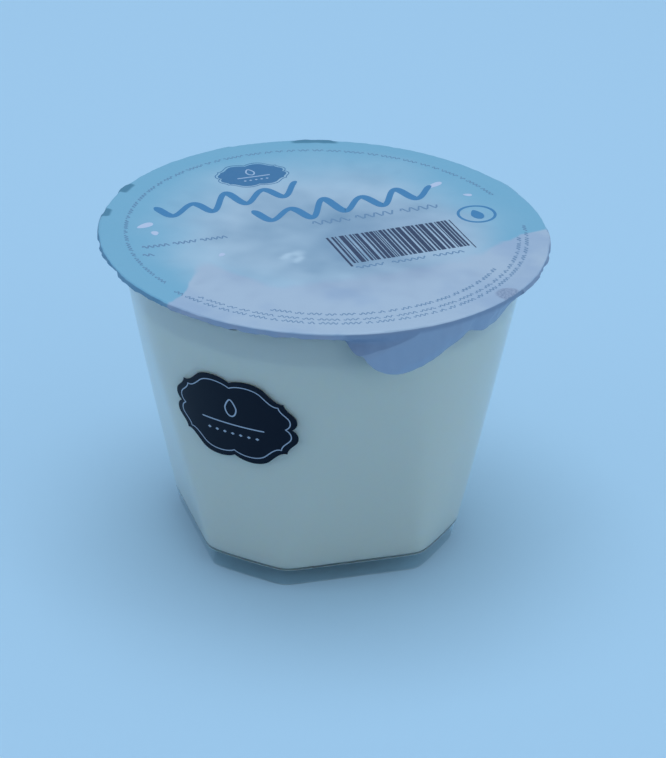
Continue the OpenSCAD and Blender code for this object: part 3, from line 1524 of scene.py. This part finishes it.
@dataclass
class LidPrint:
    """The generic print on the lid: waves for the title, a badge, plain bars, broken lines and a drop."""

    lid: FoilLid
    inks: dict[InkName, Ink]
    badge_at: Pair = (-3.8 * MM, 29.0 * MM)
    bars_low: float = -14.0
    bars_high: float = -2.2
    bars_end: float = 25.0
    bar_widths: tuple[float, ...] = (0.22, 0.22, 0.45, 0.45, 0.7, 0.95)
    bar_gaps: tuple[float, ...] = (0.22, 0.3, 0.45, 0.6)
    mark_at: Pair = (31.2 * MM, -1.5 * MM)
    mark_r: float = 3.6 * MM
    straight_rows: tuple[StraightRow, ...] = (
        StraightRow(-0.5, 25.5, 4.6, 0.85, 1.9, 0.34, (5.0, 9.0), 1.4),
        StraightRow(-35.2, -17.0, 4.3, 0.5, 1.1, 0.3, (2.5, 5.5), 0.8),
        StraightRow(-36.2, -31.5, 1.0, 0.5, 1.1, 0.3, (2.0, 4.0), 0.8),
        StraightRow(0.2, 24.0, -15.9, 0.45, 1.3, 0.28, (4.5, 7.0), 1.6),
    )
    ring_rows: tuple[RingRow, ...] = (
        RingRow(34.9, -128.0, -44.0, 0.42, 0.2),
        RingRow(37.2, -150.0, -22.0, 0.36, 0.17),
        RingRow(38.7, -157.0, -14.0, 0.36, 0.17),
        RingRow(37.9, 8.0, 198.0, 0.36, 0.17),
    )
    # Across, up, half length and half width in millimetres, and turn in degrees, of each fleck.
    flecks: tuple[tuple[float, ...], ...] = (
        (-31.6, 13.4, 1.9, 0.8, 20), (-30.9, 9.6, 0.9, 0.7, 80), (28.7, 13.4, 2.0, 0.7, 25),
        (-22.0, -3.0, 0.8, 0.5, 40), (33.0, 7.0, 0.9, 0.5, -30),
    )

    def surface(self, x: float, y: float, lift: float) -> Vector:
        """Return a place on the foil, in metres.

        Args:
            x: Across in the print's own frame.
            y: Up in the print's own frame.
            lift: Height over the foil.

        Returns:
            The place in the part's frame.
        """
        c, s = math.cos(PRINT_TURN), math.sin(PRINT_TURN)
        px, py = c * x - s * y, s * x + c * y
        return Vector((px, py, self.lid.top(px, py) + lift))

    def _printer(self, name: str) -> Printer:
        """Return a printer for one ink on this lid."""
        return Printer(name, self.surface)

    def _wave(
        self, x0: float, x1: float, y: float, rise: float, swing: float, count: float,
    ) -> Path:
        """Return the path of a wavy stroke.

        Args:
            x0: Where it starts, in millimetres.
            x1: Where it ends.
            y: Height of its middle line at the start.
            rise: How far that line climbs.
            swing: Half of the waves' height.
            count: Number of waves.

        Returns:
            The path in metres.
        """
        steps = int(40 * count)
        path = []
        for i in range(steps + 1):
            t = i / steps
            turn = 2 * math.pi * count * t
            tall = swing * (1.0 + 0.30 * math.cos(turn * 0.5 + 0.6) + 0.16 * math.cos(turn * 0.31 + 2.0))
            slant = 0.2 * tall * math.cos(turn)
            path.append(((mix(x0, x1, t) + slant) * MM, (y + rise * t + tall * math.cos(turn)) * MM))
        return path

    def _title(self) -> bpy.types.Object:
        """Print the two wavy strokes that stand where a title would be.

        Returns:
            The piece.
        """
        printer = self._printer("print_waves")
        printer.brush(self._wave(-28.0, 3.0, 17.4, 3.4, 2.5, 4.0), 1.2 * MM, 1.8 * MM)
        printer.brush(self._wave(-10.5, 27.5, 10.2, 0.9, 2.7, 5.0), 1.2 * MM, 1.9 * MM)
        return printer.build(self.inks[InkName.BLUE], "lid")

    def _badge(self) -> list[bpy.types.Object]:
        """Print the small plaque near the lid's back, with its drop, rule and dots.

        Returns:
            The plaque, and the pale detail on it.
        """
        cx, cy = self.badge_at
        outline = [(cx + x, cy + y) for x, y in plaque_outline(13.6 * MM, 9.2 * MM)]
        plate = self._printer("print_badge")
        plate.plate(outline, (cx, cy))
        rim = [(cx + x, cy + y) for x, y in plaque_outline(14.6 * MM, 10.2 * MM)]
        plate.stroke(rim, 0.16 * MM, closed=True)
        detail = Printer("print_badge_detail", self.surface, lift=0.055 * MM, sunk=0.0)
        detail.stroke(drop_outline(cx, cy + 1.3 * MM, 1.3 * MM), 0.3 * MM, closed=True)
        rule_y = cy - 0.9 * MM
        detail.stroke([(cx - 3.4 * MM, rule_y), (cx, rule_y), (cx + 3.4 * MM, rule_y)], 0.32 * MM)
        detail.dots((cx, cy - 2.3 * MM), 2, 1.15 * MM, 0.3 * MM, 0.5 * MM)
        return [plate.build(self.inks[InkName.DEEP], "lid"), detail.build(self.inks[InkName.PALE], "lid")]

    def _bars(self) -> bpy.types.Object:
        """Print a block of plain upright bars of uneven width.

        Returns:
            The piece.
        """
        printer = self._printer("print_bars")
        rng = random.Random(11)
        x = -0.6
        while x < self.bars_end:
            width = rng.choice(self.bar_widths)
            guard = x < 0.4 or x > self.bars_end - 1.0
            foot = self.bars_low - (1.2 if guard else 0.0)
            path = [((x + width / 2) * MM, mix(self.bars_high, foot, i / 6) * MM) for i in range(7)]
            printer.stroke(path, width * MM)
            x += width + rng.choice(self.bar_gaps)
        return printer.build(self.inks[InkName.DARK], "lid")

    def _scribble(
        self, x0: float, x1: float, y: float, tall: float, pitch: float,
    ) -> Path:
        """Return a small even zigzag with rounded turns.

        Args:
            x0: Where it starts, in millimetres.
            x1: Where it ends.
            y: Its middle line.
            tall: Half of its height.
            pitch: Length of one turn.

        Returns:
            The path in metres.
        """
        steps = max(4, int((x1 - x0) / pitch * 6))
        path = []
        for i in range(steps + 1):
            x = mix(x0, x1, i / steps)
            path.append((x * MM, (y + tall * math.sin(2 * math.pi * (x - x0) / pitch)) * MM))
        return path

    def _round_row(self, x: float, y: float, r: float) -> Pair:
        """Bend a place on a straight row onto a ring.

        Args:
            x: Place along the row, in metres.
            y: Place above it, in metres.
            r: The ring's radius in millimetres.

        Returns:
            The place in metres.
        """
        turn = x / (r * MM)
        reach = r * MM + y
        return reach * math.cos(turn), reach * math.sin(turn)

    def _fine_rows(self) -> bpy.types.Object:
        """Print the thin broken lines that stand where small print would be.

        Returns:
            The piece.
        """
        printer = self._printer("print_fine_rows")
        rng = random.Random(5)
        for row in self.straight_rows:
            for a, b in dashes(row.start, row.end, rng, *row.dash, row.gap):
                printer.stroke(self._scribble(a, b, row.up, row.tall, row.pitch), row.thick * MM)
        for row in self.ring_rows:
            r = row.radius
            for a, b in dashes(math.radians(row.start) * r, math.radians(row.end) * r, rng, 1.2, 4.2, 0.7):
                path = [self._round_row(x, y, r) for x, y in self._scribble(a, b, 0.0, row.tall, 0.95)]
                printer.stroke(path, row.thick * MM)
        return printer.build(self.inks[InkName.FINE], "lid")

    def _mark(self) -> bpy.types.Object:
        """Print the small drop in a ring beside the bars.

        Returns:
            The piece.
        """
        printer = self._printer("print_mark")
        cx, cy = self.mark_at
        ring = [(cx + self.mark_r * math.cos(t), cy + self.mark_r * math.sin(t)) for t in all_round(40)]
        printer.stroke(ring, 0.55 * MM, closed=True)
        printer.plate(drop_outline(cx, cy - 0.2 * MM, 2.0 * MM), (cx, cy - 0.2 * MM), rings=2)
        return printer.build(self.inks[InkName.BLUE], "lid")

    def _petals(self) -> bpy.types.Object:
        """Print the small pale flecks scattered near the rim.

        Returns:
            The piece.
        """
        printer = self._printer("print_flecks")
        for x, y, long, wide, turn in self.flecks:
            c, s = math.cos(math.radians(turn)), math.sin(math.radians(turn))
            outline = []
            for t in all_round(20):
                a, b = long * math.cos(t), wide * math.sin(t) * (1 + 0.3 * math.cos(t))
                outline.append(((x + c * a - s * b) * MM, (y + s * a + c * b) * MM))
            printer.plate(outline, (x * MM, y * MM), rings=2)
        return printer.build(self.inks[InkName.PETAL], "lid")

    def build(self) -> list[bpy.types.Object]:
        """Return all the printed pieces."""
        return [self._title(), *self._badge(), self._bars(), self._fine_rows(), self._mark(), self._petals()]


@dataclass
class PlaqueLabel:
    """The dark plaque label on the front of the wall, with a pale line, a drop, a rule and dots."""

    form: PotForm
    film: Ink
    pale: Ink
    width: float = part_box("label")[1][0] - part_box("label")[0][0]
    height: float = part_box("label")[1][2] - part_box("label")[0][2]
    middle_z: float = (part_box("label")[1][2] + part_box("label")[0][2]) / 2
    front: float = -math.pi / 2
    border: float = 1.25 * MM

    def surface(self, x: float, y: float, lift: float) -> Vector:
        """Return a place on the wall, in metres.

        Args:
            x: Across from the label's middle.
            y: Up from the label's middle.
            lift: Height over the wall.

        Returns:
            The place in the part's frame.
        """
        z = self.middle_z + y
        off = math.asin(x / self.form.cone_r(z))
        return self.form.at(self.front + off, z, -lift)

    def build(self) -> list[bpy.types.Object]:
        """Build the label.

        Returns:
            The film, which replaces the label's solid, and its printed lines.
        """
        film = Printer("plaque_label", self.surface, lift=0.13 * MM, sunk=-0.03 * MM)
        film.plate(plaque_outline(self.width, self.height, 18), rings=12)
        plate = film.maker.build([self.film.material()], sharp_deg=50)
        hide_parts("label")
        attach(plate, "root")
        lines = Printer("plaque_lines", self.surface, lift=0.15 * MM, sunk=0.10 * MM)
        inner = plaque_outline(self.width - 2 * self.border, self.height - 2 * self.border, 18)
        lines.stroke(inner, 0.2 * MM, closed=True)
        lines.stroke(drop_outline(0.0, 2.6 * MM, 1.9 * MM), 0.28 * MM, closed=True)
        rule = [(mix(-6.6, 6.6, i / 14) * MM, -1.2 * MM) for i in range(15)]
        lines.stroke(rule, 0.26 * MM)
        lines.dots((0.0, -3.3 * MM), 3, 1.7 * MM, 0.35 * MM, 0.6 * MM)
        return [plate, lines.build(self.pale, "label")]


# ---------------------------------------------------------------------------------------------
# Floor, light and camera
# ---------------------------------------------------------------------------------------------


@dataclass(frozen=True)
class SoftLight:
    """A square soft light: how far it stands towards the camera, to the right and up, in metres."""

    name: str
    towards: float
    right: float
    up: float
    power: float
    colour: Colour
    size: float = 0.7


@dataclass
class Studio:
    """A plain pale floor, soft light from above and behind, and the camera."""

    floor_colour: Colour = (0.62, 0.84, 0.97)
    sky_colour: Colour = (0.58, 0.77, 1.0)
    sky_strength: float = 0.57
    azimuth: float = math.radians(27.2)
    elevation: float = math.radians(27.79)
    roll: float = math.radians(1.99)
    distance: float = 683.5 * MM
    aim_right: float = 2.63 * MM
    aim_z: float = 30.96 * MM
    lens: float = 166.2
    floor_half: float = 1.5
    lights: tuple[SoftLight, ...] = (
        SoftLight("key", -0.12, -0.05, 1.1, 3.5, (0.64, 0.81, 1.0)),
        SoftLight("right", 0.05, 0.85, 0.3, 0.85, (0.62, 0.83, 1.0)),
        SoftLight("left", 0.25, -0.85, 0.3, 0.68, (0.66, 0.82, 1.0)),
        SoftLight("front", 0.75, 0.55, 0.42, 0.44, (0.82, 0.90, 0.93)),
    )

    def _floor(self) -> None:
        """Add the floor."""
        half = self.floor_half
        corners = [(-half, -half, 0), (half, -half, 0), (half, half, 0), (-half, half, 0)]
        mesh = bpy.data.meshes.new("floor")
        mesh.from_pydata(corners, [], [(0, 1, 2, 3)])
        floor = bpy.data.objects.new("floor", mesh)
        bpy.context.scene.collection.objects.link(floor)
        material = bpy.data.materials.new("floor_paper")
        material.use_nodes = True
        shader = material.node_tree.nodes["Principled BSDF"]
        shader.inputs["Base Color"].default_value = opaque(self.floor_colour)
        shader.inputs["Roughness"].default_value = 0.85
        mesh.materials.append(material)

    def _light(self, light: SoftLight) -> None:
        """Add a light that faces the pot.

        Args:
            light: Where it stands and how bright it is.
        """
        data = bpy.data.lights.new(light.name, "AREA")
        data.size = light.size
        data.energy = light.power
        data.color = light.colour
        lamp = bpy.data.objects.new(light.name, data)
        ca, sa = math.cos(self.azimuth), math.sin(self.azimuth)
        place = Vector((sa, -ca, 0)) * light.towards + Vector((ca, sa, 0)) * light.right
        place.z = light.up
        lamp.location = place
        aim = Vector((0, 0, self.aim_z)) - place
        lamp.rotation_euler = aim.to_track_quat("-Z", "Y").to_euler()
        bpy.context.scene.collection.objects.link(lamp)

    def _camera(self) -> None:
        """Add the camera."""
        data = bpy.data.cameras.new("view")
        data.lens = self.lens
        data.sensor_width = 36.0
        data.clip_start = 0.01
        camera = bpy.data.objects.new("view", data)
        ca, sa = math.cos(self.azimuth), math.sin(self.azimuth)
        ce, se = math.cos(self.elevation), math.sin(self.elevation)
        right = Vector((ca, sa, 0))
        back = Vector((sa * ce, -ca * ce, se))
        target = right * self.aim_right + Vector((0, 0, self.aim_z))
        camera.location = target + back * self.distance
        facing = (-back).to_track_quat("-Z", "Y")
        camera.rotation_mode = "QUATERNION"
        camera.rotation_quaternion = facing @ Quaternion((0, 0, 1), self.roll)
        bpy.context.scene.collection.objects.link(camera)
        bpy.context.scene.camera = camera

    def build(self) -> None:
        """Add everything round the pot."""
        scene = bpy.context.scene
        scene.view_settings.view_transform = "Standard"
        world = bpy.data.worlds.new("soft_sky")
        world.use_nodes = True
        sky = world.node_tree.nodes["Background"]
        sky.inputs["Color"].default_value = opaque(self.sky_colour)
        sky.inputs["Strength"].default_value = self.sky_strength
        scene.world = world
        self._floor()
        for light in self.lights:
            self._light(light)
        self._camera()


# ---------------------------------------------------------------------------------------------
# The whole pot
# ---------------------------------------------------------------------------------------------


def inks() -> dict[InkName, Ink]:
    """Return the inks on the lid."""
    return {
        InkName.BLUE: Ink("title_blue", (0.06, 0.27, 0.50), (0.10, 0.33, 0.56), 0.38),
        InkName.DEEP: Ink("badge_blue", (0.05, 0.21, 0.40), (0.08, 0.26, 0.46), 0.38),
        InkName.DARK: Ink("bar_dark", (0.03, 0.05, 0.11), (0.05, 0.08, 0.16), 0.42),
        InkName.FINE: Ink("fine_grey", (0.20, 0.33, 0.48), (0.26, 0.40, 0.55), 0.42),
        InkName.PETAL: Ink("petal_white", (0.74, 0.76, 0.88), (0.68, 0.72, 0.88), 0.42),
        InkName.PALE: Ink("badge_pale", (0.55, 0.66, 0.80), (0.62, 0.72, 0.84), 0.42),
    }


def main() -> None:
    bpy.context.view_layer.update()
    form = PotForm()
    Studio().build()
    cup = Cup(form, ClearPlastic("clear_plastic", (0.85, 0.955, 1.0), (0.84, 0.95, 1.0), 0.04))
    fill = YogurtFill(form, Cream("yogurt_cream", (0.97, 0.94, 0.84), (0.95, 0.91, 0.80), 0.45))
    lid = FoilLid(
        form,
        Foil("printed_and_shaded_foil", (0.6, 0.77, 0.9), (0.52, 0.68, 0.84), 0.5, metallic=0.08, relief=0.4),
        Foil("bare_foil", (0.62, 0.65, 0.74), (0.50, 0.54, 0.66), 0.34, metallic=0.85, relief=0.5),
        LidColours(),
    )
    label = PlaqueLabel(
        form,
        Ink("plaque_film", (0.002, 0.006, 0.016), (0.003, 0.009, 0.022), 0.3, relief=0.05, gloss=0.12),
        Ink("plaque_pale", (0.36, 0.42, 0.52), (0.40, 0.46, 0.56), 0.4, relief=0.08),
    )
    pieces = [cup.build(), fill.build(), lid.build(), *LidPrint(lid, inks()).build(), *label.build()]
    for piece in pieces:
        LOG.info("piece %s: %d faces", piece.name, len(piece.data.polygons))


if __name__ == "__main__":
    main()
